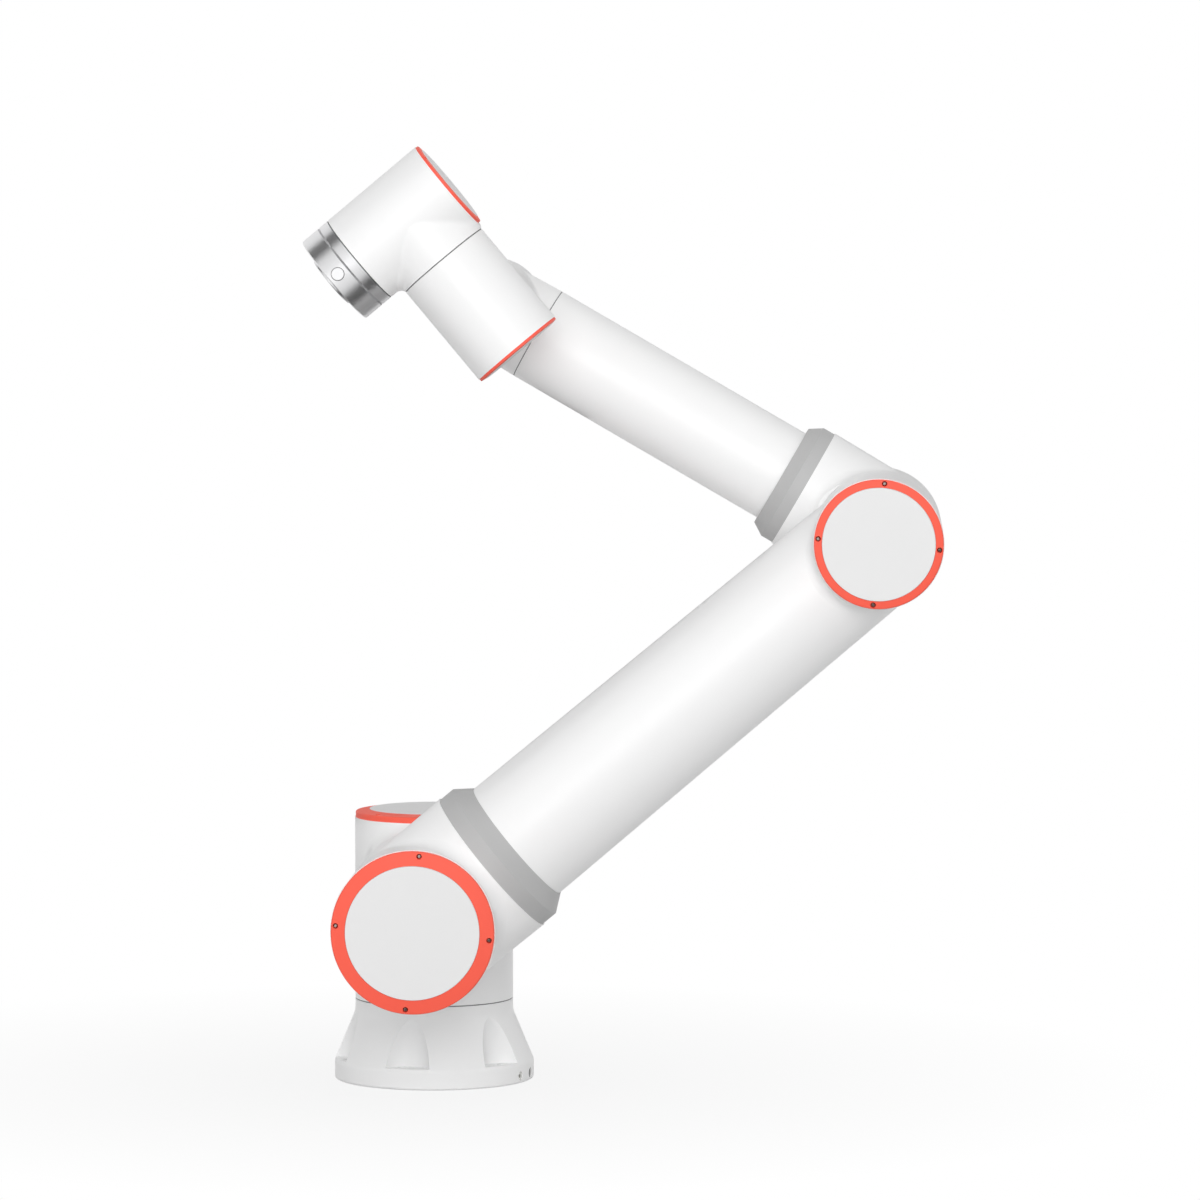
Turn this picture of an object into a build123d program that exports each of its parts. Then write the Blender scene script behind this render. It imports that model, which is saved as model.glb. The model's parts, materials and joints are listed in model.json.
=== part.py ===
"""Six-axis collaborative robot arm, built piece by piece in its own frame.

Millimetres. The origin is the centre of the base's underside, +Z is up, the arm swings in
planes that stand off the column towards -Y, and +X is the side the elbow points to.
"""
from build123d import *
import os
from math import cos, radians, sin

os.makedirs("parts", exist_ok=True)

# Joint modules: radii of the three sizes, and how far a branch is slimmer at its root than its run
BIG_R = 95.0
MID_R = 75.0
SMALL_R = 57.5
BRANCH_STEP = 1.5

# Base casting
BASE_R = 120.0
RIM_TOP = 22.0
CONE_TOP_Z = 82.0
BASE_TOP = 96.4
RIM_ROUND = 3.0
SHELF_ROUND = 14.0
NECK_ROUND = 30.0
POCKET_FLOOR = 25.0
POCKET_COUNT = 6
POCKET_R = 28.3
POCKET_CENTRE_R = 124.0
POCKET_START = -102.0
BOLT_CIRCLE_R = 108.0
BOLT_HOLE_R = 5.5
SIDE_FITTING_Z = 9.0
SIDE_FITTING_DEPTH = 10.0
SOCKET_ANGLE = -12.0
SOCKET_R = 6.5
SOCKET_WALL = 1.5
SOCKET_CUP = 5.0
EARTH_ANGLE = -26.5
EARTH_R = 5.5
EARTH_HEX_R = 2.5
EARTH_HEX_DEPTH = 2.5
FITTING_GAP = 0.3

# Joint seams: a seal ring on the fixed side and a running gap
SEAL_THICK = 1.0
SEAL_INSET = 0.8
RUN_GAP = 0.4

# Where the joint axes lie
SHOULDER_Z = 215.0
COLUMN_TOP = 315.9
SHOULDER_REACH = 112.0
UPPER_ARM_Y = -228.0
UPPER_ARM_ANGLE = 39.95
UPPER_ARM_LENGTH = 696.5
FOREARM_Y = -58.0
FOREARM_ANGLE = 149.85
FOREARM_LENGTH = 531.8
WRIST_1_Y = -202.0
WRIST_2_ANGLE = 129.9
WRIST_2_OFFSET = 137.3
WRIST_3_ANGLE = WRIST_2_ANGLE + 90.0

# Module ends, measured along their own axes
UPPER_ARM_FRONT = -338.0
ELBOW_FRONT = -318.0
ELBOW_SEAM = -137.0
FOREARM_BACK = 25.0
FOREARM_BACK_ROUND = 15.0
WRIST_1_SEAM = -135.0
FOREARM_END_BACK = 6.0
FOREARM_END_REACH = 63.0
WRIST_1_CAP = 60.0
WRIST_2_SEAM = 72.0
WRIST_2_CAP = 59.0
WRIST_3_SEAM = 73.4

# Clamp collars and arm tubes
COLLAR_STEP = 1.2
UPPER_COLLAR_START = 110.0
UPPER_COLLAR_BAND = 19.0
UPPER_COLLAR_CONE = 19.0
UPPER_COLLAR_LIP = 0.6
UPPER_TUBE_R = 78.5
ELBOW_TUBE_R = MID_R - BRANCH_STEP
FORE_COLLAR_START = 103.8
FORE_COLLAR_BAND = 14.7
FORE_COLLAR_CONE = 15.4
FORE_COLLAR_LIP = 6.2
FORE_TUBE_R = SMALL_R
COLLAR_BORE_GAP = 0.3
SEAM_GROOVE = 1.2
SEAM_GROOVE_DEPTH = 2.0

# Caps: ring thickness at its edge, cover radius, screw circle and screw seat for each module size
BIG_CAP = 7.0
MID_CAP = 7.0
SMALL_CAP = 3.0
BIG_COVER_R = 77.5
MID_COVER_R = 65.0
SMALL_COVER_R = 50.0
BIG_SCREWS_R = 88.8
MID_SCREWS_R = 69.7
SMALL_SCREWS_R = 53.4
SCREW_SEAT_R = 3.2
SMALL_SCREW_SEAT_R = 2.3
SCREW_COUNT = 4

# Caps: shares of the ring's edge thickness, and what all sizes have in common
CAP_ROUND = 0.25
SCREW_SEAT_DEPTH = 0.55
CROWN_SLOPE = 0.146
RING_INSET = 0.8
COVER_GAP = 0.2
COVER_PROUD = 0.4
COVER_ROUND = 0.6

# Where the first screw of a cap sits: on the column, on the two arm joints, and on the wrist
COLUMN_SCREWS = 45.5
ARM_SCREWS = -5.2
WRIST_SCREWS = 45.0

# Blends where a branch leaves its run
COLUMN_BLEND = 20.0
SHOULDER_BLEND = 18.0
ELBOW_BLEND = 14.0
FOREARM_BLEND = 16.0
FOREARM_END_BLEND = 8.0
WRIST_BLEND = 10.0

# Tool flange, with the standard 50 mm bolt circle and 63 mm centring boss
REAR_BAND = 12.0
BAND_GROOVE = 2.0
BAND_GROOVE_DEPTH = 1.0
FLANGE_EDGE = 1.2
FLANGE_DEPTH = 113.0
BOSS_R = 31.5
BOSS_HEIGHT = 4.5
BOSS_CHAMFER = 0.8
RECESS_R = 15.75
RECESS_DEPTH = 6.0
TOOL_CIRCLE_R = 25.0
TOOL_HOLE_R = 2.5
TOOL_HOLE_DEPTH = 12.0
DOWEL_R = 3.0
DOWEL_DEPTH = 8.0
PORT_R = 8.0
PORT_SEAT_DEPTH = 3.0
PORT_PROUD = 1.0
PORT_GAP = 0.7


def heading(angle):
    """Unit vector at an angle above +X in the plane the arm swings in."""
    return Vector(cos(radians(angle)), 0, sin(radians(angle)))


def at_depth(point, depth):
    """The same point carried along a Y axis to another swing plane."""
    return Vector(point.X, depth, point.Z)


def facing(origin, direction):
    """Plane at origin whose normal points along direction."""
    side = Vector(1, 0, 0) if abs(direction.Y) > 0.5 else Vector(0, 1, 0)
    return Plane(origin, x_dir=side, z_dir=direction)


def rim_seat(angle):
    """Plane at the bottom of a round seat in the side of the base rim, facing outwards."""
    outward = Vector(cos(radians(angle)), sin(radians(angle)), 0)
    return Plane(
        outward * (BASE_R - SIDE_FITTING_DEPTH) + Vector(0, 0, SIDE_FITTING_Z), x_dir=(0, 0, 1), z_dir=outward
    )


def save(piece, name):
    """Name one finished piece and write it."""
    piece.part.label = name
    export_step(piece.part, f"parts/{name}.step")


def is_crease(edge):
    """True for the curve where two round runs cross."""
    return edge.geom_type not in (GeomType.CIRCLE, GeomType.LINE)


def tee_housing(run, low, high, run_r, branch, reach, blend, end_round=0.0):
    """Module casting: a run along one joint axis and a branch that leaves it, softly blended.

    The branch has a little draft, which leaves the blend room at its root. The run starts a blend's
    width early and is cut back flat, so the blend can meet the end face.
    """
    with BuildPart() as housing:
        with BuildSketch(run.offset(low - blend)):
            Circle(run_r)
        extrude(amount=high - low + blend)
        if end_round:
            far_end = housing.faces().sort_by(Axis(run.origin, run.z_dir))[-1]
            fillet(far_end.edges(), end_round)
        with BuildSketch(branch):
            Circle(run_r - BRANCH_STEP)
        with BuildSketch(branch.offset(reach)):
            Circle(run_r)
        loft(ruled=True)
        fillet(housing.edges().filter_by(is_crease), blend)
        split(bisect_by=run.offset(low), keep=Keep.TOP)
    return housing


def cap(name, seat, module_r, cover_r, thick, screws_r, first_screw, screw_seat_r=SCREW_SEAT_R):
    """Trim ring that rises to its flat cover, with its screw seats, on the end face of a module."""
    outward = Axis(seat.origin, seat.z_dir)
    section = Plane(seat.origin, x_dir=seat.x_dir, z_dir=seat.y_dir * -1)
    ring_r = module_r - RING_INSET
    bore_r = cover_r + COVER_GAP
    crown = thick + (ring_r - bore_r) * CROWN_SLOPE
    with BuildPart() as ring:
        with BuildSketch(section) as profile:
            with BuildLine():
                Polyline((bore_r, 0), (ring_r, 0), (ring_r, thick), (bore_r, crown), close=True)
            make_face()
            fillet(profile.vertices().sort_by_distance((ring_r, thick))[0], CAP_ROUND * thick)
        revolve(axis=outward)
        with BuildSketch(seat.offset(crown)):
            with PolarLocations(screws_r, SCREW_COUNT, start_angle=first_screw):
                Circle(screw_seat_r)
        extrude(amount=thick - crown - SCREW_SEAT_DEPTH * thick, mode=Mode.SUBTRACT)
    with BuildPart() as cover:
        with BuildSketch(seat):
            Circle(cover_r)
        extrude(amount=crown + COVER_PROUD)
        fillet(cover.faces().sort_by(outward)[-1].edges(), COVER_ROUND)
    save(ring, f"{name}_cap_ring")
    save(cover, f"{name}_cap_cover")


def seal(name, seat, module_r):
    """Thin seal ring in a joint seam, set back a little from the housings."""
    with BuildPart() as ring:
        with BuildSketch(seat):
            Circle(module_r - SEAL_INSET)
        extrude(amount=SEAL_THICK)
    save(ring, name)


def collar(name, axis_plane, start, band, cone, band_r, bore_r, lip):
    """Clamp collar: a straight band, then a cone down to the arm tube that passes through it."""
    section = Plane(axis_plane.origin, x_dir=axis_plane.x_dir, z_dir=axis_plane.y_dir * -1)
    with BuildPart() as ring:
        with BuildSketch(section):
            with BuildLine():
                Polyline(
                    (bore_r, start),
                    (band_r, start),
                    (band_r, start + band),
                    (bore_r + lip, start + band + cone),
                    (bore_r, start + band + cone),
                    close=True,
                )
            make_face()
        revolve(axis=Axis(axis_plane.origin, axis_plane.z_dir))
    save(ring, name)


# Joint centres in the planes where their castings lie
column = Plane.XY
towards_viewer = Vector(0, -1, 0)
towards_back = Vector(0, 1, 0)
shoulder_axis = Vector(0, 0, SHOULDER_Z)
shoulder_centre = at_depth(shoulder_axis, UPPER_ARM_Y)
elbow_centre = shoulder_centre + heading(UPPER_ARM_ANGLE) * UPPER_ARM_LENGTH
forearm_root = at_depth(elbow_centre, FOREARM_Y)
forearm_end = forearm_root + heading(FOREARM_ANGLE) * FOREARM_LENGTH
wrist_1_centre = at_depth(forearm_end, WRIST_1_Y)
wrist_2_centre = wrist_1_centre + heading(WRIST_2_ANGLE) * WRIST_2_OFFSET
SEAM = SEAL_THICK + RUN_GAP
socket_seat = rim_seat(SOCKET_ANGLE)
earth_seat = rim_seat(EARTH_ANGLE)

# Base casting: bolt rim, cone and neck, with an arched pocket over every bolt
with BuildPart() as base_casting:
    with BuildSketch(Plane.XZ) as base_outline:
        with BuildLine():
            Polyline(
                (0, 0),
                (BASE_R, 0),
                (BASE_R, RIM_TOP),
                (BIG_R, CONE_TOP_Z),
                (BIG_R, BASE_TOP),
                (0, BASE_TOP),
                close=True,
            )
        make_face()
        fillet(base_outline.vertices().sort_by_distance((BIG_R, CONE_TOP_Z))[0], NECK_ROUND)
        fillet(base_outline.vertices().sort_by_distance((BASE_R, RIM_TOP))[0], SHELF_ROUND)
        fillet(base_outline.vertices().sort_by_distance((BASE_R, 0))[0], RIM_ROUND)
    revolve(axis=Axis.Z)
    with BuildSketch(Plane.XY.offset(POCKET_FLOOR)):
        with PolarLocations(POCKET_CENTRE_R, POCKET_COUNT, start_angle=POCKET_START):
            Circle(POCKET_R)
    extrude(amount=BASE_TOP, mode=Mode.SUBTRACT)
    with BuildSketch(Plane.XY):
        with PolarLocations(BOLT_CIRCLE_R, POCKET_COUNT, start_angle=POCKET_START):
            Circle(BOLT_HOLE_R)
    extrude(amount=POCKET_FLOOR, mode=Mode.SUBTRACT)
    with BuildSketch(socket_seat):
        Circle(SOCKET_R)
    extrude(amount=SIDE_FITTING_DEPTH, mode=Mode.SUBTRACT)
    with BuildSketch(earth_seat):
        Circle(EARTH_R)
    extrude(amount=SIDE_FITTING_DEPTH, mode=Mode.SUBTRACT)
save(base_casting, "base_casting")

# Supply socket, a round cup let into the side of the rim
with BuildPart() as base_socket:
    with BuildSketch(socket_seat):
        Circle(SOCKET_R - FITTING_GAP)
    extrude(amount=SIDE_FITTING_DEPTH - SOCKET_WALL)
    with BuildSketch(socket_seat.offset(SIDE_FITTING_DEPTH - SOCKET_WALL)):
        Circle(SOCKET_R - FITTING_GAP - SOCKET_WALL)
    extrude(amount=-SOCKET_CUP, mode=Mode.SUBTRACT)
save(base_socket, "base_socket")

# Earth screw beside it, its head sunk into the rim
with BuildPart() as base_earth_screw:
    with BuildSketch(earth_seat):
        Circle(EARTH_R - FITTING_GAP)
    extrude(amount=SIDE_FITTING_DEPTH - SOCKET_WALL)
    with BuildSketch(earth_seat.offset(SIDE_FITTING_DEPTH - SOCKET_WALL)):
        RegularPolygon(EARTH_HEX_R, 6)
    extrude(amount=-EARTH_HEX_DEPTH, mode=Mode.SUBTRACT)
save(base_earth_screw, "base_earth_screw")
seal("base_joint_seal", Plane.XY.offset(BASE_TOP), BIG_R)

# Shoulder: the turning column with its branch to the second joint
shoulder_housing = tee_housing(
    column, BASE_TOP + SEAM, COLUMN_TOP, BIG_R,
    facing(shoulder_axis, towards_viewer), SHOULDER_REACH, COLUMN_BLEND,
)
save(shoulder_housing, "shoulder_housing")
cap("shoulder", Plane.XY.offset(COLUMN_TOP), BIG_R, BIG_COVER_R, BIG_CAP, BIG_SCREWS_R, COLUMN_SCREWS)
shoulder_seam = facing(at_depth(shoulder_axis, -SHOULDER_REACH), towards_viewer)
seal("shoulder_joint_seal", shoulder_seam, BIG_R)

# Upper arm: root casting, clamp collar, and the tube that runs into the elbow casting
upper_run = facing(shoulder_axis, towards_viewer)
upper_axis = facing(shoulder_centre, heading(UPPER_ARM_ANGLE))
upper_root = tee_housing(
    upper_run, SHOULDER_REACH + SEAM, -UPPER_ARM_FRONT, BIG_R,
    upper_axis, UPPER_COLLAR_START, SHOULDER_BLEND,
)
save(upper_root, "upper_arm_root")
upper_front = upper_run.offset(-UPPER_ARM_FRONT)
cap("upper_arm", upper_front, BIG_R, BIG_COVER_R, BIG_CAP, BIG_SCREWS_R, ARM_SCREWS)
collar(
    "upper_arm_collar", upper_axis, UPPER_COLLAR_START, UPPER_COLLAR_BAND, UPPER_COLLAR_CONE,
    BIG_R - COLLAR_STEP, UPPER_TUBE_R + COLLAR_BORE_GAP, UPPER_COLLAR_LIP,
)
upper_collar_end = UPPER_COLLAR_START + UPPER_COLLAR_BAND + UPPER_COLLAR_CONE
elbow_run = facing(at_depth(elbow_centre, 0), towards_viewer)
with BuildPart() as upper_tube:
    with BuildSketch(upper_axis.offset(UPPER_COLLAR_START)):
        Circle(UPPER_TUBE_R)
    extrude(amount=upper_collar_end - UPPER_COLLAR_START)
    with BuildSketch(upper_axis.offset(upper_collar_end)):
        Circle(UPPER_TUBE_R)
    with BuildSketch(upper_axis.offset(UPPER_ARM_LENGTH)):
        Circle(ELBOW_TUBE_R)
    loft(ruled=True)
    with BuildSketch(elbow_run.offset(SEAM - ELBOW_SEAM)):
        Circle(MID_R)
    extrude(amount=ELBOW_SEAM - SEAM - ELBOW_FRONT)
    fillet(upper_tube.edges().filter_by(is_crease), ELBOW_BLEND)
save(upper_tube, "upper_arm_tube")
elbow_front = elbow_run.offset(-ELBOW_FRONT)
cap("elbow", elbow_front, MID_R, MID_COVER_R, MID_CAP, MID_SCREWS_R, ARM_SCREWS)
seal("elbow_joint_seal", elbow_run.offset(RUN_GAP - ELBOW_SEAM), MID_R)

# Forearm: root casting with a closed rounded back, collar, tapered tube and end casting
forearm_run = facing(at_depth(forearm_root, 0), towards_back)
forearm_axis = facing(forearm_root, heading(FOREARM_ANGLE))
forearm_root_housing = tee_housing(
    forearm_run, ELBOW_SEAM, FOREARM_BACK, MID_R,
    forearm_axis, FORE_COLLAR_START, FOREARM_BLEND, FOREARM_BACK_ROUND,
)
save(forearm_root_housing, "forearm_root")
collar(
    "forearm_collar", forearm_axis, FORE_COLLAR_START, FORE_COLLAR_BAND, FORE_COLLAR_CONE,
    MID_R - COLLAR_STEP, FORE_TUBE_R + COLLAR_BORE_GAP, FORE_COLLAR_LIP,
)
groove_start = FOREARM_LENGTH - FOREARM_END_REACH - SEAM_GROOVE
with BuildPart() as forearm_tube:
    with BuildSketch(forearm_axis.offset(FORE_COLLAR_START)):
        Circle(FORE_TUBE_R)
    extrude(amount=groove_start - FORE_COLLAR_START)
    with BuildSketch(forearm_axis.offset(groove_start)):
        Circle(FORE_TUBE_R - SEAM_GROOVE_DEPTH)
    extrude(amount=SEAM_GROOVE)
save(forearm_tube, "forearm_tube")
wrist_1_run = facing(at_depth(forearm_end, 0), towards_back)
forearm_end_housing = tee_housing(
    wrist_1_run, WRIST_1_SEAM, FOREARM_END_BACK, SMALL_R,
    facing(forearm_end, heading(FOREARM_ANGLE + 180)), FOREARM_END_REACH, FOREARM_END_BLEND,
)
save(forearm_end_housing, "forearm_end")
cap(
    "forearm_end", wrist_1_run.offset(FOREARM_END_BACK), SMALL_R, SMALL_COVER_R, SMALL_CAP,
    SMALL_SCREWS_R, WRIST_SCREWS, SMALL_SCREW_SEAT_R,
)
wrist_1_seam = facing(at_depth(forearm_end, WRIST_1_SEAM), towards_viewer)
seal("wrist_1_joint_seal", wrist_1_seam, SMALL_R)

# Wrist 1: a run along the fifth axis, on a short branch from the fourth
wrist_2_run = facing(wrist_1_centre, heading(WRIST_2_ANGLE))
wrist_1_housing = tee_housing(
    wrist_2_run, -WRIST_1_CAP, WRIST_2_SEAM, SMALL_R,
    facing(wrist_1_centre, towards_back), WRIST_1_SEAM - SEAM - WRIST_1_Y, WRIST_BLEND,
)
save(wrist_1_housing, "wrist_1_housing")
wrist_1_cap_seat = facing(
    wrist_1_centre - heading(WRIST_2_ANGLE) * WRIST_1_CAP, heading(WRIST_2_ANGLE + 180)
)
cap(
    "wrist_1", wrist_1_cap_seat, SMALL_R, SMALL_COVER_R, SMALL_CAP,
    SMALL_SCREWS_R, WRIST_SCREWS, SMALL_SCREW_SEAT_R,
)
seal("wrist_2_joint_seal", wrist_2_run.offset(WRIST_2_SEAM), SMALL_R)

# Wrist 2: a run along the sixth axis, on a branch from the fifth
wrist_3_run = facing(wrist_2_centre, heading(WRIST_3_ANGLE))
wrist_2_cap_seat = facing(
    wrist_2_centre - heading(WRIST_3_ANGLE) * WRIST_2_CAP, heading(WRIST_3_ANGLE + 180)
)
wrist_2_housing = tee_housing(
    wrist_3_run, -WRIST_2_CAP, WRIST_3_SEAM, SMALL_R,
    facing(wrist_2_centre, heading(WRIST_2_ANGLE + 180)),
    WRIST_2_OFFSET - WRIST_2_SEAM - SEAM, WRIST_BLEND,
)
save(wrist_2_housing, "wrist_2_housing")
cap(
    "wrist_2", wrist_2_cap_seat, SMALL_R, SMALL_COVER_R, SMALL_CAP,
    SMALL_SCREWS_R, WRIST_SCREWS, SMALL_SCREW_SEAT_R,
)
seal("wrist_3_joint_seal", wrist_3_run.offset(WRIST_3_SEAM), SMALL_R)

# Tool flange: rear band, then the front band with its boss, bolt circle and signal port
rear_start = WRIST_3_SEAM + SEAM
front_start = rear_start + REAR_BAND
with BuildPart() as rear_band:
    with BuildSketch(wrist_3_run.offset(rear_start)):
        Circle(SMALL_R)
    extrude(amount=REAR_BAND)
save(rear_band, "flange_rear_band")

front_face = wrist_3_run.offset(FLANGE_DEPTH)
boss_face = wrist_3_run.offset(FLANGE_DEPTH + BOSS_HEIGHT)
wrist_3_axis = Axis(wrist_2_centre, heading(WRIST_3_ANGLE))
port_middle = (front_start + BAND_GROOVE + FLANGE_DEPTH) / 2
port_point = wrist_2_centre + heading(WRIST_3_ANGLE) * port_middle
port_plane = Plane(port_point, x_dir=heading(WRIST_3_ANGLE), z_dir=towards_viewer)
port_seat = port_plane.offset(SMALL_R - PORT_SEAT_DEPTH)
with BuildPart() as front_band:
    with BuildSketch(wrist_3_run.offset(front_start)):
        Circle(SMALL_R - BAND_GROOVE_DEPTH)
    extrude(amount=BAND_GROOVE)
    with BuildSketch(wrist_3_run.offset(front_start + BAND_GROOVE)):
        Circle(SMALL_R)
    extrude(amount=FLANGE_DEPTH - front_start - BAND_GROOVE)
    chamfer(front_band.faces().sort_by(wrist_3_axis)[-1].edges(), FLANGE_EDGE)
    with BuildSketch(front_face):
        Circle(BOSS_R)
    extrude(amount=BOSS_HEIGHT)
    chamfer(front_band.faces().sort_by(wrist_3_axis)[-1].edges(), BOSS_CHAMFER)
    with BuildSketch(boss_face):
        Circle(RECESS_R)
    extrude(amount=-RECESS_DEPTH, mode=Mode.SUBTRACT)
    with BuildSketch(boss_face):
        with PolarLocations(TOOL_CIRCLE_R, 4, start_angle=45):
            Circle(TOOL_HOLE_R)
    extrude(amount=-TOOL_HOLE_DEPTH, mode=Mode.SUBTRACT)
    with BuildSketch(boss_face):
        with PolarLocations(TOOL_CIRCLE_R, 1):
            Circle(DOWEL_R)
    extrude(amount=-DOWEL_DEPTH, mode=Mode.SUBTRACT)
    with BuildSketch(port_seat):
        Circle(PORT_R)
    extrude(amount=PORT_SEAT_DEPTH, mode=Mode.SUBTRACT)
save(front_band, "flange_front_band")

# Round signal port on the side of the front band
with BuildPart() as port:
    with BuildSketch(port_seat):
        Circle(PORT_R - PORT_GAP)
    extrude(amount=PORT_SEAT_DEPTH + PORT_PROUD)
    fillet(port.faces().sort_by(Axis.Y)[0].edges(), PORT_PROUD / 2)
save(port, "flange_port")
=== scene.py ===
# %% [markdown]
# # Dressing a six-axis robot arm
# The arm's castings, rings, covers and flange arrive from CAD at their true size and stay where they are.
# What is left for Blender is what the eye reads first: paint, moulded plastic, turned metal, rubber, the
# small screws, and a white studio to see them in.

# %% Load the frame
import json
import math

import bmesh
import bpy
from mathutils import Matrix, Vector


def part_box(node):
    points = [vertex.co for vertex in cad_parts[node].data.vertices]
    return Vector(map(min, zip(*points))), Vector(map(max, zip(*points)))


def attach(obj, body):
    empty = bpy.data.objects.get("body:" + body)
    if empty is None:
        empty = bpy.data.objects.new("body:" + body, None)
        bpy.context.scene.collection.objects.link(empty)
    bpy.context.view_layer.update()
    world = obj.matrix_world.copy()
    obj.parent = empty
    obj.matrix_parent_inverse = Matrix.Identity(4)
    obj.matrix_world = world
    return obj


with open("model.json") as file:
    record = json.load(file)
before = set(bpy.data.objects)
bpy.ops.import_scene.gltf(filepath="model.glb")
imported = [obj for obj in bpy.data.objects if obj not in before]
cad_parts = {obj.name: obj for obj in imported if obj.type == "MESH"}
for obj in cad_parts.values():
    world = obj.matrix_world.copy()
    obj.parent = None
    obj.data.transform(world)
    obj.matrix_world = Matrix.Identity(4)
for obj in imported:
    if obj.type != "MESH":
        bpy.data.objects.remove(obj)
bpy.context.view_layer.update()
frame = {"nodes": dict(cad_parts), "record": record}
nodes = frame["nodes"]
record = frame["record"]
MM = 0.001

# %% [markdown]
# ## Three small helpers
# Colours are written as the hex values a designer would give, and Blender wants linear light, so one
# function converts them. Shader and geometry trees are both made of nodes, so one function adds a node,
# sets its options and fills its inputs, with either a value or a link from another node. The third puts a
# new object into the scene.


# %% Helpers
def linear(hex_colour):
    """sRGB hex to linear RGBA."""
    channels = [int(hex_colour[i:i + 2], 16) / 255 for i in (1, 3, 5)]
    return [c / 12.92 if c <= 0.04045 else ((c + 0.055) / 1.055) ** 2.4 for c in channels] + [1.0]


def put(tree, kind, inputs=None, **options):
    """Adds one node; an input is a plain value, or a socket that gets linked."""
    made = tree.nodes.new(kind)
    for option, value in options.items():
        setattr(made, option, value)
    for key, value in (inputs or {}).items():
        if isinstance(value, bpy.types.NodeSocket):
            tree.links.new(value, made.inputs[key])
        else:
            made.inputs[key].default_value = value
    return made


def add_object(name, data):
    """A new object at the scene's origin."""
    made = bpy.data.objects.new(name, data)
    bpy.context.scene.collection.objects.link(made)
    return made


print("middle grey in linear light", round(linear("#808080")[0], 3))

# %% [markdown]
# ## Camera
# The photo was taken from far away with a long lens: the round covers stay nearly round, and only thin
# slivers of the wrist caps show. The view stands a little to the right of the column and a little above it.
# Two angles, a distance and a point to aim at say all that, and are easier to correct than a typed matrix.

# %% Camera at the photo's viewpoint
VIEW_AZIMUTH = math.radians(2.63)
VIEW_ELEVATION = math.radians(3.66)
VIEW_DISTANCE = 7.27
VIEW_AIM = Vector((0.200, 0.0, 0.577))
LENS_MM = 181.8
SENSOR_MM = 36.0
FAR_CLIP = 200.0

back = Vector((
    math.sin(VIEW_AZIMUTH) * math.cos(VIEW_ELEVATION),
    -math.cos(VIEW_AZIMUTH) * math.cos(VIEW_ELEVATION),
    math.sin(VIEW_ELEVATION),
))
camera = add_object("camera", bpy.data.cameras.new("camera"))
camera.data.sensor_width = SENSOR_MM
camera.data.lens = LENS_MM
camera.data.clip_end = FAR_CLIP
camera.location = VIEW_AIM + back * VIEW_DISTANCE
camera.rotation_mode = "QUATERNION"
camera.rotation_quaternion = (-back).to_track_quat("-Z", "Y")
bpy.context.scene.camera = camera
bpy.context.scene.view_settings.view_transform = "Standard"
print("camera at", [round(c, 3) for c in camera.location])

# %% [markdown]
# ## Where the axes run
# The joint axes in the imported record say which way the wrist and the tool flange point. The caps and the
# lathe marks on the flange follow them, so nothing is typed twice.

# %% Axes from the record
joints = record["behaviour"]["joints"]
axis_of = {joint["name"]: Vector(joint["axis"]).normalized() for joint in joints}
pivot_of = {joint["name"]: Vector(joint["pos_m"]) for joint in joints}
WRIST_2_AXIS = axis_of["j5_wrist_2"]
TOOL_AXIS = axis_of["j6_wrist_3"]
FRONT = Vector((0, -1, 0))
UP = Vector((0, 0, 1))


def middle(node):
    """Centre of a node's box at rest."""
    low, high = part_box(node)
    return (Vector(low) + Vector(high)) / 2


print("tool axis", [round(c, 4) for c in TOOL_AXIS])

# %% [markdown]
# ## A base for every finish
# Most finishes here are one colour with a fine surface: what tells paint from plastic is the grain of the
# relief and how the gloss wanders. Both could come from images, but these need an unwrapped mesh. Noise on
# Object coordinates needs none, and its sizes are in millimetres on every piece. The orange peel of the paint
# has its real size. Mould grain and plating are finer than 0.3 mm in life, and are drawn coarser here so that
# they show.


# %% Material helpers
MATH = "ShaderNodeMath"
VECTOR_MATH = "ShaderNodeVectorMath"
NOISE = "ShaderNodeTexNoise"
MAP_RANGE = "ShaderNodeMapRange"
GLOSS_DRIFT_MM = 60.0
# noise seldom leaves this range
NOISE_LOW = 0.3
NOISE_HIGH = 0.7


def new_material(name):
    """A material with its tree and its Principled shader."""
    material = bpy.data.materials.new(name)
    material.use_nodes = True
    tree = material.node_tree
    return material, tree, tree.nodes["Principled BSDF"]


def set_shader(shader, **values):
    """Constants go straight on the shader's own sockets."""
    for key, value in values.items():
        shader.inputs[key.replace("_", " ")].default_value = value


def fine_surface(tree, shader, grain_mm, depth_mm, rough_low, rough_high):
    """Fine relief of a given grain size, and a gloss that wanders between two values."""
    place = put(tree, "ShaderNodeTexCoord").outputs["Object"]
    grain = put(tree, NOISE, {"Vector": place, "Scale": 1 / (grain_mm * MM), "Detail": 2.0})
    bump = put(tree, "ShaderNodeBump", {"Height": grain.outputs["Fac"], "Distance": depth_mm * MM})
    tree.links.new(bump.outputs["Normal"], shader.inputs["Normal"])
    drift = put(tree, NOISE, {"Vector": place, "Scale": 1 / (GLOSS_DRIFT_MM * MM), "Detail": 1.0})
    gloss = put(tree, MAP_RANGE, {"Value": drift.outputs["Fac"], "From Min": NOISE_LOW,
                                  "From Max": NOISE_HIGH, "To Min": rough_low, "To Max": rough_high})
    tree.links.new(gloss.outputs["Result"], shader.inputs["Roughness"])


print("gloss wanders over", GLOSS_DRIFT_MM, "mm")

# %% [markdown]
# ## Paint, plastics and rubber
# The housings are aluminium castings with a satin white powder coat. The coat flows while it cures, which
# leaves a faint orange peel and a soft gloss. The coral trim rings and the light grey covers are moulded ABS
# from a spark-eroded tool, so they are duller and finer grained. The clamp collars are cast polyurethane, and
# the seams hold plain nitrile rubber.


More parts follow.
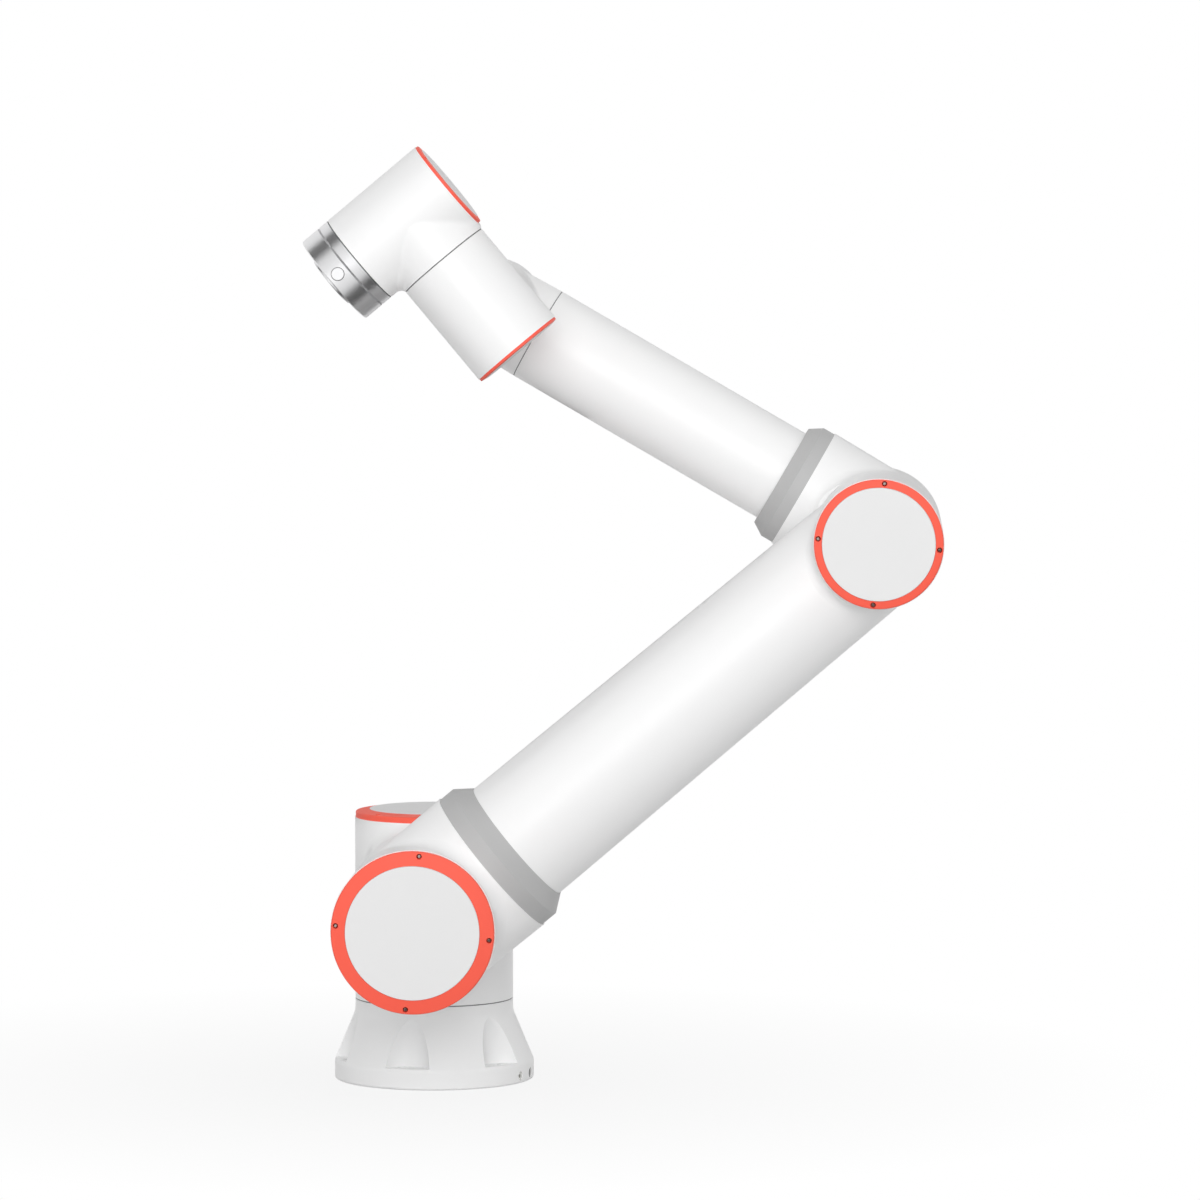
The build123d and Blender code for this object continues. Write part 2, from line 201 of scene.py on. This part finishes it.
# %% Coats and mouldings
MOULDED_DRIFT = 0.04


def powder_coat():
    """Satin white powder coat on cast aluminium: soft gloss with a faint orange peel."""
    material, tree, shader = new_material("powder_coated_aluminium")
    set_shader(shader, Base_Color=linear("#F6F6F6"), IOR=1.5)
    fine_surface(tree, shader, grain_mm=3.0, depth_mm=0.012, rough_low=0.30, rough_high=0.36)
    return material


def moulded(name, colour, rough, grain_mm=1.2, depth_mm=0.012):
    """Plastic or rubber with the grain of its mould: even colour, fine matt relief."""
    material, tree, shader = new_material(name)
    set_shader(shader, Base_Color=linear(colour), IOR=1.53)
    fine_surface(tree, shader, grain_mm, depth_mm, rough - MOULDED_DRIFT, rough + MOULDED_DRIFT)
    return material


coat = powder_coat()
# ABS from a spark-eroded tool: one even, satin coral that makes the joints stand out
coral = moulded("coral_abs", "#FC5F4A", rough=0.52)
# the same ABS with the shallowest grain, so the covers look flat and calm
light_grey = moulded("light_grey_abs", "#E6E6E6", rough=0.50, depth_mm=0.004)
# cast polyurethane: a coarser skin with a broad, dull sheen
collar_grey = moulded("grey_polyurethane", "#B9B9B9", rough=0.50, grain_mm=2.0)
# nitrile rubber: the dullest of all, a plain grey line in each seam
rubber = moulded("nitrile_rubber", "#8A8A8A", rough=0.66, grain_mm=1.0, depth_mm=0.01)
# glass-filled PBT: a little glossier, as socket bodies are
socket_grey = moulded("grey_pbt", "#A6A6A6", rough=0.45)
print("coats", [m.name for m in (coat, coral, light_grey, collar_grey, rubber, socket_grey)])

# %% [markdown]
# ## Turned metal
# The tool flange is turned on a lathe, and the tool leaves fine rings round the axis: side by side along the
# bands, and one inside the other on the end face. The distance along the axis plus the distance from the axis
# grows across both, so one number drives the rings everywhere. Real rings are about 0.1 mm apart; they are
# drawn wider here so that they still show. The narrow groove between the two bands is left dull.


# %% Lathe-turned aluminium
RING_PITCH_MM = 0.45
RING_DEPTH_MM = 0.006
RING_ROUGH_LOW = 0.30
RING_ROUGH_HIGH = 0.40
GROOVE_MM = 2.4
GROOVE_MIDDLE_MM = 7.0

tool_point = middle("flange_rear_band")


def turned_aluminium():
    """Aluminium from the lathe: bright, with fine rings that spread its highlights."""
    material, tree, shader = new_material("turned_aluminium")
    set_shader(shader, Base_Color=linear("#E4E4E5"), Metallic=1.0)
    place = put(tree, "ShaderNodeTexCoord").outputs["Object"]
    reach = put(tree, VECTOR_MATH, {0: place, 1: tool_point}, operation="SUBTRACT").outputs["Vector"]
    along = put(tree, VECTOR_MATH, {0: reach, 1: TOOL_AXIS}, operation="DOT_PRODUCT").outputs["Value"]
    on_axis = put(tree, VECTOR_MATH, {0: TOOL_AXIS, "Scale": along}, operation="SCALE").outputs["Vector"]
    aside = put(tree, VECTOR_MATH, {0: reach, 1: on_axis}, operation="DISTANCE").outputs["Value"]
    walk = put(tree, MATH, {0: along, 1: aside}, operation="ADD").outputs[0]
    rings = put(tree, NOISE, {"W": walk, "Scale": 1 / (RING_PITCH_MM * MM), "Detail": 3.0},
                noise_dimensions="1D").outputs["Fac"]
    bump = put(tree, "ShaderNodeBump", {"Height": rings, "Distance": RING_DEPTH_MM * MM})
    tree.links.new(bump.outputs["Normal"], shader.inputs["Normal"])
    gloss = put(tree, MAP_RANGE, {"Value": rings, "From Min": NOISE_LOW, "From Max": NOISE_HIGH,
                                  "To Min": RING_ROUGH_LOW, "To Max": RING_ROUGH_HIGH}).outputs["Result"]
    past = put(tree, MATH, {0: along, 1: GROOVE_MIDDLE_MM * MM}, operation="SUBTRACT").outputs[0]
    off_groove = put(tree, MATH, {0: past}, operation="ABSOLUTE").outputs[0]
    in_groove = put(tree, MATH, {0: off_groove, 1: GROOVE_MM * MM / 2}, operation="LESS_THAN").outputs[0]
    rough = put(tree, MATH, {0: gloss, 1: in_groove}, operation="MAXIMUM").outputs[0]
    tree.links.new(rough, shader.inputs["Roughness"])
    return material


aluminium = turned_aluminium()
print("rings about", [round(c, 4) for c in tool_point], "every", RING_PITCH_MM, "mm")

# %% [markdown]
# ## Steel and plating
# The other metal pieces are too small to show tool marks. What tells them apart is their tint and a thin
# cloudiness: plain steel screws, a zinc-plated earth screw, and contacts with a flash of gold.


# %% Plated metals
PLATED_DRIFT = 0.06


def plated(name, colour, rough):
    """Plain or plated metal: bright, with a skin that is a little cloudy."""
    material, tree, shader = new_material(name)
    set_shader(shader, Base_Color=linear(colour), Metallic=1.0)
    fine_surface(tree, shader, grain_mm=0.8, depth_mm=0.004, rough_low=rough - PLATED_DRIFT,
                 rough_high=rough + PLATED_DRIFT)
    return material


# turned steel, left plain: the darkest of the three, so each screw is a small dot on its coral ring
steel = plated("plain_steel", "#CCC6C0", rough=0.30)
# steel with a coat of zinc: paler and more cloudy, close to the white beside it
zinc = plated("zinc_plated_steel", "#DADAD7", rough=0.40)
# a flash of gold over brass: the only warm glint, deep in the socket
gold = plated("gold_flashed_contact", "#D9B25A", rough=0.28)
print("metals", [m.name for m in (aluminium, steel, zinc, gold)])

# %% [markdown]
# ## Give every CAD node its finish
# The record already sorts the nodes into slots. One table turns a slot into a finish, which is shorter than a
# line for each node and can't forget one.

# %% Finishes by slot
FINISH = {
    "casting": coat,
    "trim_ring": coral,
    "cover": light_grey,
    "collar": collar_grey,
    "seal": rubber,
    "flange": aluminium,
    "port": aluminium,
    "socket": socket_grey,
    "screw": zinc,
}
for part in record["subparts"]:
    mesh = nodes[part["node"]].data
    mesh.materials.clear()
    mesh.materials.append(FINISH[part["material_slot"]])
print("dressed", len(record["subparts"]), "nodes")

# %% [markdown]
# ## Rings of points
# Screws, pins and gaskets are all round: rings of points, one above the other, with a skin between them. A
# Screw modifier could spin a profile too, but a screw's head also has a hexagon for the key, and rings with
# equally many points can change from round to hexagon. The shapes are drawn in millimetres.


# %% Helpers for round shapes
HEX = 6
ROUND = 36


def ring_of(shape, radius, z, count=ROUND):
    """A ring of vertices, in millimetres."""
    turns = [2 * math.pi * i / count for i in range(count)]
    return [shape.verts.new((radius * math.cos(a), radius * math.sin(a), z)) for a in turns]


def hex_ring(shape, radius, z):
    """A hexagon with as many points as a round ring, so the two can be skinned."""
    points = []
    for i in range(ROUND):
        turn = 2 * math.pi * i / ROUND
        to_flat = (turn + math.pi / HEX) % (2 * math.pi / HEX) - math.pi / HEX
        reach = radius * math.cos(math.pi / HEX) / math.cos(to_flat)
        points.append(shape.verts.new((reach * math.cos(turn), reach * math.sin(turn), z)))
    return points


def skin(shape, lower, upper):
    """Quads between two rings with equally many points."""
    for i in range(len(lower)):
        j = (i + 1) % len(lower)
        shape.faces.new((lower[i], lower[j], upper[j], upper[i]))


def close_stack(shape, stack):
    """Skins rings one on the other and closes both ends."""
    for lower, upper in zip(stack, stack[1:]):
        skin(shape, lower, upper)
    shape.faces.new(reversed(stack[0]))
    shape.faces.new(stack[-1])


def to_mesh(shape, name):
    """A mesh in metres from a shape in millimetres, with its faces outwards."""
    bmesh.ops.recalc_face_normals(shape, faces=shape.faces)
    bmesh.ops.scale(shape, vec=(MM, MM, MM), verts=shape.verts)
    mesh = bpy.data.meshes.new(name)
    shape.to_mesh(mesh)
    shape.free()
    return mesh


print("points on a ring", ROUND)

# %% [markdown]
# ## Cap screws
# Four small socket screws hold each trim ring, sunk into seats that the CAD rings already have. One screw is
# modelled: a turned head with a broken edge and a hexagon for the key. Geometry Nodes then place it on a
# circle, which is easier to change than copies and keeps every ring exact.

# %% One socket screw
# radius and height, from the seat up
HEAD_PROFILE = ((2.75, 0.0), (2.75, 0.9), (2.62, 1.6), (2.3, 2.3), (1.9, 2.8), (1.55, 3.05))
KEY_R = 1.4
KEY_TOP = 3.1
KEY_FLOOR = 2.3

shape = bmesh.new()
stack = [ring_of(shape, radius, z) for radius, z in HEAD_PROFILE]
stack += [hex_ring(shape, KEY_R, z) for z in (KEY_TOP, KEY_FLOOR)]
close_stack(shape, stack)
pattern_screw = add_object("pattern_screw", to_mesh(shape, "socket_screw"))
print("screw faces", len(pattern_screw.data.polygons))

# %% [markdown]
# ## A bolt circle in Geometry Nodes
# The tree takes a pattern, a count, a radius and a first angle. It makes a mesh circle, turns it to the first
# angle, puts the pattern on its points with a seeded twist so that the keys don't all line up, and ends in
# real geometry with its material set.


# %% The bolt-circle tree
TWIST_SEED = 7
TREE_INPUTS = {
    "Pattern": "NodeSocketObject",
    "Count": "NodeSocketInt",
    "Radius": "NodeSocketFloat",
    "First Angle": "NodeSocketFloat",
    "Plan Scale": "NodeSocketFloat",
    "Height Scale": "NodeSocketFloat",
    "Finish": "NodeSocketMaterial",
}


def bolt_circle_tree():
    """A pattern repeated on a circle, twisted at random, as real geometry with a finish."""
    tree = bpy.data.node_groups.new("bolt_circle", "GeometryNodeTree")
    for name, kind in TREE_INPUTS.items():
        tree.interface.new_socket(name, in_out="INPUT", socket_type=kind)
    tree.interface.new_socket("Geometry", in_out="OUTPUT", socket_type="NodeSocketGeometry")
    given = put(tree, "NodeGroupInput").outputs
    circle = put(tree, "GeometryNodeMeshCircle", {"Vertices": given["Count"], "Radius": given["Radius"]})
    angle = put(tree, "ShaderNodeCombineXYZ", {"Z": given["First Angle"]})
    turned = put(tree, "GeometryNodeTransform", {"Geometry": circle.outputs["Mesh"],
                                                 "Rotation": angle.outputs["Vector"]})
    twist = put(tree, "FunctionNodeRandomValue", {"Min": (0, 0, 0), "Max": (0, 0, 2 * math.pi / HEX),
                                                  "Seed": TWIST_SEED}, data_type="FLOAT_VECTOR")
    size = put(tree, "ShaderNodeCombineXYZ", {"X": given["Plan Scale"], "Y": given["Plan Scale"],
                                              "Z": given["Height Scale"]})
    source = put(tree, "GeometryNodeObjectInfo", {"Object": given["Pattern"]})
    placed = put(tree, "GeometryNodeInstanceOnPoints", {
        "Points": turned.outputs["Geometry"], "Instance": source.outputs["Geometry"],
        "Rotation": twist.outputs["Value"], "Scale": size.outputs["Vector"]})
    real = put(tree, "GeometryNodeRealizeInstances", {"Geometry": placed.outputs["Instances"]})
    coated = put(tree, "GeometryNodeSetMaterial", {"Geometry": real.outputs["Geometry"],
                                                   "Material": given["Finish"]})
    put(tree, "NodeGroupOutput", {"Geometry": coated.outputs["Geometry"]})
    return tree


bolt_circle = bolt_circle_tree()
print("bolt circle nodes", len(bolt_circle.nodes))

# %% [markdown]
# ## Run the tree
# A modifier on an empty carrier runs the tree. Its inputs are set by their sockets' identifiers, all before
# the first evaluation. The result is copied to a plain mesh and the carrier goes, so no modifier is left.


# %% From the tree to a mesh
tree_inputs = [item for item in bolt_circle.interface.items_tree if item.in_out == "INPUT"]
socket_id = {item.name: item.identifier for item in tree_inputs}


def on_circle(pattern, count, radius_mm, first_deg, scale, finish):
    """Runs the tree once and returns its result as a plain mesh about the origin."""
    carrier = add_object("carrier", bpy.data.meshes.new("carrier"))
    modifier = carrier.modifiers.new("bolt_circle", "NODES")
    modifier.node_group = bolt_circle
    plan_scale, height_scale = scale
    values = {"Pattern": pattern, "Count": count, "Radius": radius_mm * MM,
              "First Angle": math.radians(first_deg), "Plan Scale": plan_scale,
              "Height Scale": height_scale, "Finish": finish}
    for name, value in values.items():
        modifier[socket_id[name]] = value
    bpy.context.view_layer.update()
    mesh = bpy.data.meshes.new_from_object(carrier.evaluated_get(bpy.context.evaluated_depsgraph_get()))
    bpy.data.objects.remove(carrier)
    return mesh


print("inputs", socket_id)

# %% [markdown]
# ## Set pieces in place
# A node's box gives its middle, and the joint axes give the way it faces. From these a small frame is set on
# the node: its z runs outwards and its x is the direction from which the first angle counts. What belongs to
# one body is joined into one object at the origin, with its place in its mesh, and rides on that body.


# %% Frames and pieces
ALONG_X = Vector((1, 0, 0))
ALONG_Y = Vector((0, 1, 0))
# a face whose direction has more X than this counts its angles from Y, because X is too close to it
SIDEWAYS = 0.5


def face_frame(node, outward, out_mm):
    """Frame that faces a given way, a distance out from a node's middle."""
    z = Vector(outward).normalized()
    x = ALONG_Y if abs(z.x) > SIDEWAYS else ALONG_X
    x = (x - x.project(z)).normalized()
    y = z.cross(x)
    rotation = Matrix((x, y, z)).transposed().to_4x4()
    return Matrix.Translation(middle(node) + z * out_mm * MM) @ rotation


def keep_piece(name, meshes, body, finish):
    """Joins placed meshes into one object at the origin that rides on a body."""
    joined = bmesh.new()
    for mesh in meshes:
        joined.from_mesh(mesh)
    for face in joined.faces:
        face.material_index = 0
    whole = bpy.data.meshes.new(name)
    joined.to_mesh(whole)
    joined.free()
    whole.materials.append(finish)
    piece = add_object(name, whole)
    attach(piece, body)
    print(name, "faces", len(whole.polygons))


# %% [markdown]
# ## Screws on every trim ring
# The large rings carry full-size heads and the wrist's thin rings smaller, flatter ones. Each head stands on
# the floor of its seat, so the table gives how far that floor lies from the ring's middle.

# %% Screws, one mesh for each body
SCREWS_ON_RING = 4
FULL = (1.0, 1.15)
SMALL = (0.75, 0.52)
# ring: body, way it faces, seat floor from the ring's middle and radius of the screw circle in millimetres,
# first angle in degrees, scale of the head
RINGS = {
    "shoulder_cap_ring": ("shoulder", UP, -1.55, 88.8, 45.5, FULL),
    "upper_arm_cap_ring": ("upper_arm", FRONT, -1.55, 88.8, -5.2, FULL),
    "elbow_cap_ring": ("upper_arm", FRONT, -1.0, 69.7, -5.2, FULL),
    "forearm_end_cap_ring": ("forearm", -FRONT, -0.62, 53.4, 45.0, SMALL),
    "wrist_1_cap_ring": ("wrist_1", -WRIST_2_AXIS, -0.15, 53.4, 45.0, SMALL),
    "wrist_2_cap_ring": ("wrist_2", -TOOL_AXIS, -0.15, 53.4, 45.0, SMALL),
}
screws = {}
for node, (body, outward, floor_mm, radius, first, scale) in RINGS.items():
    mesh = on_circle(pattern_screw, SCREWS_ON_RING, radius, first, scale, steel)
    mesh.transform(face_frame(node, outward, floor_mm))
    screws.setdefault(body, []).append(mesh)
for body, meshes in screws.items():
    keep_piece(f"{body}_cap_screws", meshes, body, steel)
bpy.data.objects.remove(pattern_screw)

# %% [markdown]
# ## Contacts in the supply socket
# Four gold-flashed contact pins stand in the round socket on the base's side. They are the same kind of
# circle with another pattern: a pin with a rounded tip.

# %% Contact pins
# radius and height, from the cup's floor up
PIN_PROFILE = ((0.5, 0.0), (0.5, 3.6), (0.4, 3.88), (0.2, 4.0))
PIN_ROUND = 16
PIN_COUNT = 4
PIN_CIRCLE = 2.4
PIN_FIRST = 45.0
PIN_SCALE = (1.0, 1.0)
SOCKET_DEPTH = 8.5
SOCKET_CUP = 5.0

shape = bmesh.new()
close_stack(shape, [ring_of(shape, radius, z, PIN_ROUND) for radius, z in PIN_PROFILE])
pattern_pin = add_object("pattern_pin", to_mesh(shape, "contact_pin"))
socket_middle = middle("base_socket")
socket_way = Vector((socket_middle.x, socket_middle.y, 0))
cup_floor = face_frame("base_socket", socket_way, SOCKET_DEPTH / 2 - SOCKET_CUP)
pins = on_circle(pattern_pin, PIN_COUNT, PIN_CIRCLE, PIN_FIRST, PIN_SCALE, gold)
pins.transform(cup_floor)
keep_piece("base_socket_pins", [pins], "base", gold)
bpy.data.objects.remove(pattern_pin)
print("pins at", [round(c, 4) for c in cup_floor.translation])

# %% [markdown]
# ## Two rubber gaskets
# One thin ring fills the gap round the cap of the signal port, and another the seam where the forearm tube
# meets its end casting. Both draw the fine grey line that such a joint shows. A gasket is a closed section
# carried round an axis; it stays a little below the skin, so that the edges of the metal still catch light.


# %% Gaskets
GASKET_STEPS = 96
PORT_LENGTH = 4.0
SEAM_FROM_WRIST = 63.6
# corners of each section: radius, and place along the axis
PORT_SECTION = ((7.35, 0.0), (7.95, 0.0), (7.95, 2.25), (7.35, 2.6))
SEAM_SECTION = ((55.6, -0.55), (57.1, -0.55), (57.1, 0.55), (55.6, 0.55))


def gasket(name, section, place, body):
    """A closed section in millimetres, carried round its axis and set in place."""
    shape = bmesh.new()
    stack = [ring_of(shape, radius, z, GASKET_STEPS) for radius, z in section]
    for lower, upper in zip(stack, stack[1:] + stack[:1]):
        skin(shape, lower, upper)
    mesh = to_mesh(shape, "gasket_ring")
    mesh.transform(place)
    keep_piece(name, [mesh], body, rubber)


port_frame = face_frame("flange_port", FRONT, -PORT_LENGTH / 2)
gasket("flange_port_gasket", PORT_SECTION, port_frame, "tool_flange")
tube_way = pivot_of["j3_elbow"] - pivot_of["j4_wrist_1"]
tube_way.y = 0
tube_way.normalize()
seam = pivot_of["j4_wrist_1"] + tube_way * SEAM_FROM_WRIST * MM
seam.y = middle("forearm_collar").y
seam_frame = Matrix.Translation(seam) @ tube_way.to_track_quat("Z", "Y").to_matrix().to_4x4()
gasket("forearm_seam_gasket", SEAM_SECTION, seam_frame, "forearm")
print("seam at", [round(c, 4) for c in seam])

# %% [markdown]
# ## Studio floor
# A white floor that melts into a white background. Near the arm the floor keeps part of its own shading, so
# the soft shadow shows; further off it turns to plain white and no horizon is left. Only the rays that look
# at the floor see this white; the light that it throws back on the arm is that of a plain grey floor.


# %% Floor
FADE_START = 0.15
FADE_END = 0.9
WHITE_NEAR = 0.86
FLOOR_HALF = 40.0
WHITE = linear("#FFFFFF")


def seen_rays(tree):
    """1 for camera, glossy and transmission rays, 0 for the rest."""
    path = put(tree, "ShaderNodeLightPath").outputs
    seen = put(tree, MATH, {0: path["Is Camera Ray"], 1: path["Is Glossy Ray"]}, operation="MAXIMUM")
    seen = put(tree, MATH, {0: seen.outputs[0], 1: path["Is Transmission Ray"]}, operation="MAXIMUM")
    return seen.outputs[0]


def flat_card(name, centre, across, along, material):
    """A flat rectangle about a centre, given its two half edges."""
    corners = [centre + across * i + along * j for i, j in ((-1, -1), (1, -1), (1, 1), (-1, 1))]
    mesh = bpy.data.meshes.new(name)
    mesh.from_pydata(corners, [], [(0, 1, 2, 3)])
    mesh.materials.append(material)
    card = add_object(name, mesh)
    return card


def studio_floor():
    """Matt grey paint that is seen as white, all the more so further out."""
    material, tree, shader = new_material("studio_floor")
    set_shader(shader, Base_Color=linear("#C8C8C8"), Roughness=0.9)
    place = put(tree, "ShaderNodeTexCoord").outputs["Object"]
    reach = put(tree, VECTOR_MATH, {0: place}, operation="LENGTH").outputs["Value"]
    fade = put(tree, MAP_RANGE, {"Value": reach, "From Min": FADE_START, "From Max": FADE_END,
                                 "To Min": WHITE_NEAR}).outputs["Result"]
    share = put(tree, MATH, {0: seen_rays(tree), 1: fade}, operation="MULTIPLY").outputs[0]
    white = put(tree, "ShaderNodeEmission", {"Color": WHITE, "Strength": 1.0}).outputs[0]
    mix = put(tree, "ShaderNodeMixShader", {0: share, 1: shader.outputs[0], 2: white}).outputs[0]
    tree.links.new(mix, tree.nodes["Material Output"].inputs["Surface"])
    return material


flat_card("floor", Vector((0, 0, 0)), ALONG_X * FLOOR_HALF, ALONG_Y * FLOOR_HALF, studio_floor())
print("floor is white from", FADE_END, "m out")

# %% [markdown]
# ## World
# The world lights the arm evenly from all sides, at a level that leaves room for the lamps. Camera and mirror
# rays see it as plain white.

# %% Even light
AMBIENT = 0.53

world = bpy.data.worlds.new("studio")
bpy.context.scene.world = world
world.use_nodes = True
tree = world.node_tree
fill = put(tree, "ShaderNodeBackground", {"Color": WHITE, "Strength": AMBIENT}).outputs[0]
white = put(tree, "ShaderNodeBackground", {"Color": WHITE, "Strength": 1.0}).outputs[0]
mix = put(tree, "ShaderNodeMixShader", {0: seen_rays(tree), 1: fill, 2: white}).outputs[0]
tree.links.new(mix, tree.nodes["World Output"].inputs["Surface"])
print("ambient", AMBIENT)

# %% [markdown]
# ## Lamps
# A large softbox in front, near the camera's line and a little above, gives the tubes their bright middle; a
# weaker one behind does the same for the other side. Both are hidden from mirror rays, because the mirror
# image of a lamp would burn out the turned metal.


# %% Softboxes
LAMP_AIM = Vector((0.2, 0, 0.55))
# name: place, size, power in watts
LAMPS = {
    "key": ((0.3, -8.0, 2.4), 5.0, 380),
    "back_fill": ((0.6, 7.5, 1.8), 3.5, 190),
}


def softbox(name, place, size, power):
    """A square area lamp pointed at the arm, unseen by mirror rays."""
    lamp = bpy.data.lights.new(name, "AREA")
    lamp.size = size
    lamp.energy = power
    thing = add_object(name, lamp)
    thing.location = place
    thing.rotation_mode = "QUATERNION"
    thing.rotation_quaternion = (LAMP_AIM - Vector(place)).to_track_quat("-Z", "Y")
    thing.visible_glossy = False


for name, (place, size, power) in LAMPS.items():
    softbox(name, place, size, power)
print("lamps", sorted(LAMPS))

# %% [markdown]
# ## Flags
# In an all-white room turned metal looks like paper, so it is given cards to look at, as a photographer would
# set them: a lit silk in front of the softbox, dark flags for the streaks along its bands, and grey ones for
# its edge and its face. A flag is a flat card of felt, which is matt, so it looks the same from any side.


# %% Cloth for the flags
SILK_GLOW = 1.7


def cloth(name, colour):
    """Felt that a flag is cut from."""
    material, _, shader = new_material(name)
    set_shader(shader, Base_Color=linear(colour), Roughness=0.9)
    return material


def lit_silk():
    """White silk with a lamp behind it."""
    material, tree, _ = new_material("lit_silk")
    glow = put(tree, "ShaderNodeEmission", {"Color": WHITE, "Strength": SILK_GLOW}).outputs[0]
    tree.links.new(glow, tree.nodes["Material Output"].inputs["Surface"])
    return material


dark_felt = cloth("dark_felt", "#424242")
grey_felt = cloth("grey_felt", "#AEAEAE")
silk = lit_silk()
print("cloth", [m.name for m in (dark_felt, grey_felt, silk)])

# %% [markdown]
# ## Set the flags
# Flags round the flange are placed by an angle about its axis, counted from the front, so that each one puts
# a streak at a chosen spot on the bands. The others stand in the room. Only mirror rays meet them, and the
# ones near the flange stop short of the forearm, because a card that touches paint shows its edge there.


# %% Flags that only mirrors see
def mirror_flag(name, centre, across, along, material):
    """A flag that only mirror rays meet."""
    flag = flat_card(name, centre, across, along, material)
    flag.visible_camera = False
    flag.visible_diffuse = False
    flag.visible_shadow = False
    flag.visible_transmission = False


# name: degrees round the flange from the front, distance, half width, shift along the axis, half length, felt
FLANGE_FLAGS = {
    "upper_flag": (-78.0, 1.2, 0.42, 0.0, 0.7, dark_felt),
    "lower_flag": (64.0, 0.8, 0.30, 0.0, 0.7, dark_felt),
    "inner_flag": (112.0, 0.35, 0.16, 0.10, 0.19, grey_felt),
}
band_point = middle("flange_front_band")
side = FRONT.cross(TOOL_AXIS).normalized()
for name, (angle, distance, half_width, shift, half_length, felt) in FLANGE_FLAGS.items():
    turn = math.radians(angle)
    ray = FRONT * math.cos(turn) + side * math.sin(turn)
    centre = band_point + ray * distance + TOOL_AXIS * shift
    mirror_flag(name, centre, ray.cross(TOOL_AXIS) * half_width, TOOL_AXIS * half_length, felt)

# name: centre, one half edge, the other half edge, cloth
ROOM_FLAGS = {
    "back_flag": ((0.2, 2.6, 0.8), (1.0, 0, 0), (0, 0, 0.75), grey_felt),
    "under_flag": ((-0.5, -0.2, 0.3), (0.35, 0, 0), (0, 0.45, 0), grey_felt),
    "key_silk": ((0.3, -8.0, 2.0), (2.2, 0, 0), (0, 0.3, 2.0), silk),
}
for name, (centre, across, along, material) in ROOM_FLAGS.items():
    mirror_flag(name, Vector(centre), Vector(across), Vector(along), material)
print("flags", [*FLANGE_FLAGS, *ROOM_FLAGS])
